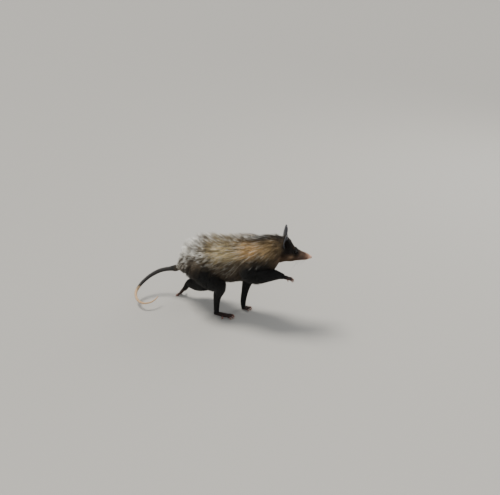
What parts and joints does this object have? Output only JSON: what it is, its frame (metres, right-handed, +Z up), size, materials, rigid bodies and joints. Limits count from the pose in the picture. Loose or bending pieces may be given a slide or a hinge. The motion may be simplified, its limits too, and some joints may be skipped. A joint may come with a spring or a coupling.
{
  "type": "opossum",
  "caption": "Life-size still model of a big-eared opossum in mid-step, with a bristly coat, raised right forefoot and a long curled bare tail.",
  "frame": {"origin": "on the floor under the sole of the right hind foot, which carries the step", "axes": "+X the way the animal walks, +Y its left, +Z up"},
  "size_m": [0.491, 0.1519, 0.2585],
  "materials": {
    "body_fur": "coarse grey and ochre guard hair over tan underfur",
    "face_fur": "short dark brown fur, paler on the cheek",
    "leg_fur": "short near-black fur",
    "ear_skin": "thin bare black skin, slightly shiny",
    "foot_skin": "bare grained skin with pinkish toes",
    "nose_skin": "moist pink skin",
    "tail_dark_skin": "scaly dark skin with sparse bristles",
    "tail_pale_skin": "scaly cream skin",
    "claw": "pale horn",
    "eye": "wet black"
  },
  "bodies": {
    "root": {"torso": "body_fur", "neck": "body_fur", "head": "face_fur", "nose": "nose_skin", "eye_left": "eye", "eye_right": "eye", "ear_left": "ear_skin", "ear_right": "ear_skin", "hind_leg_right": "leg_fur", "hind_shank_right": "leg_fur", "hind_foot_right": "foot_skin", "hind_leg_left": "leg_fur", "hind_shank_left": "leg_fur", "hind_foot_left": "foot_skin", "foreleg_left": "leg_fur", "forearm_left": "leg_fur", "forefoot_left": "foot_skin", "foreleg_right": "leg_fur", "forearm_right": "leg_fur", "forefoot_right": "foot_skin", "tail_root": "body_fur", "tail_upper": "tail_dark_skin", "tail_bend": "tail_dark_skin", "tail_curl": "tail_pale_skin", "tail_tip": "tail_pale_skin"}
  },
  "joints": []
}
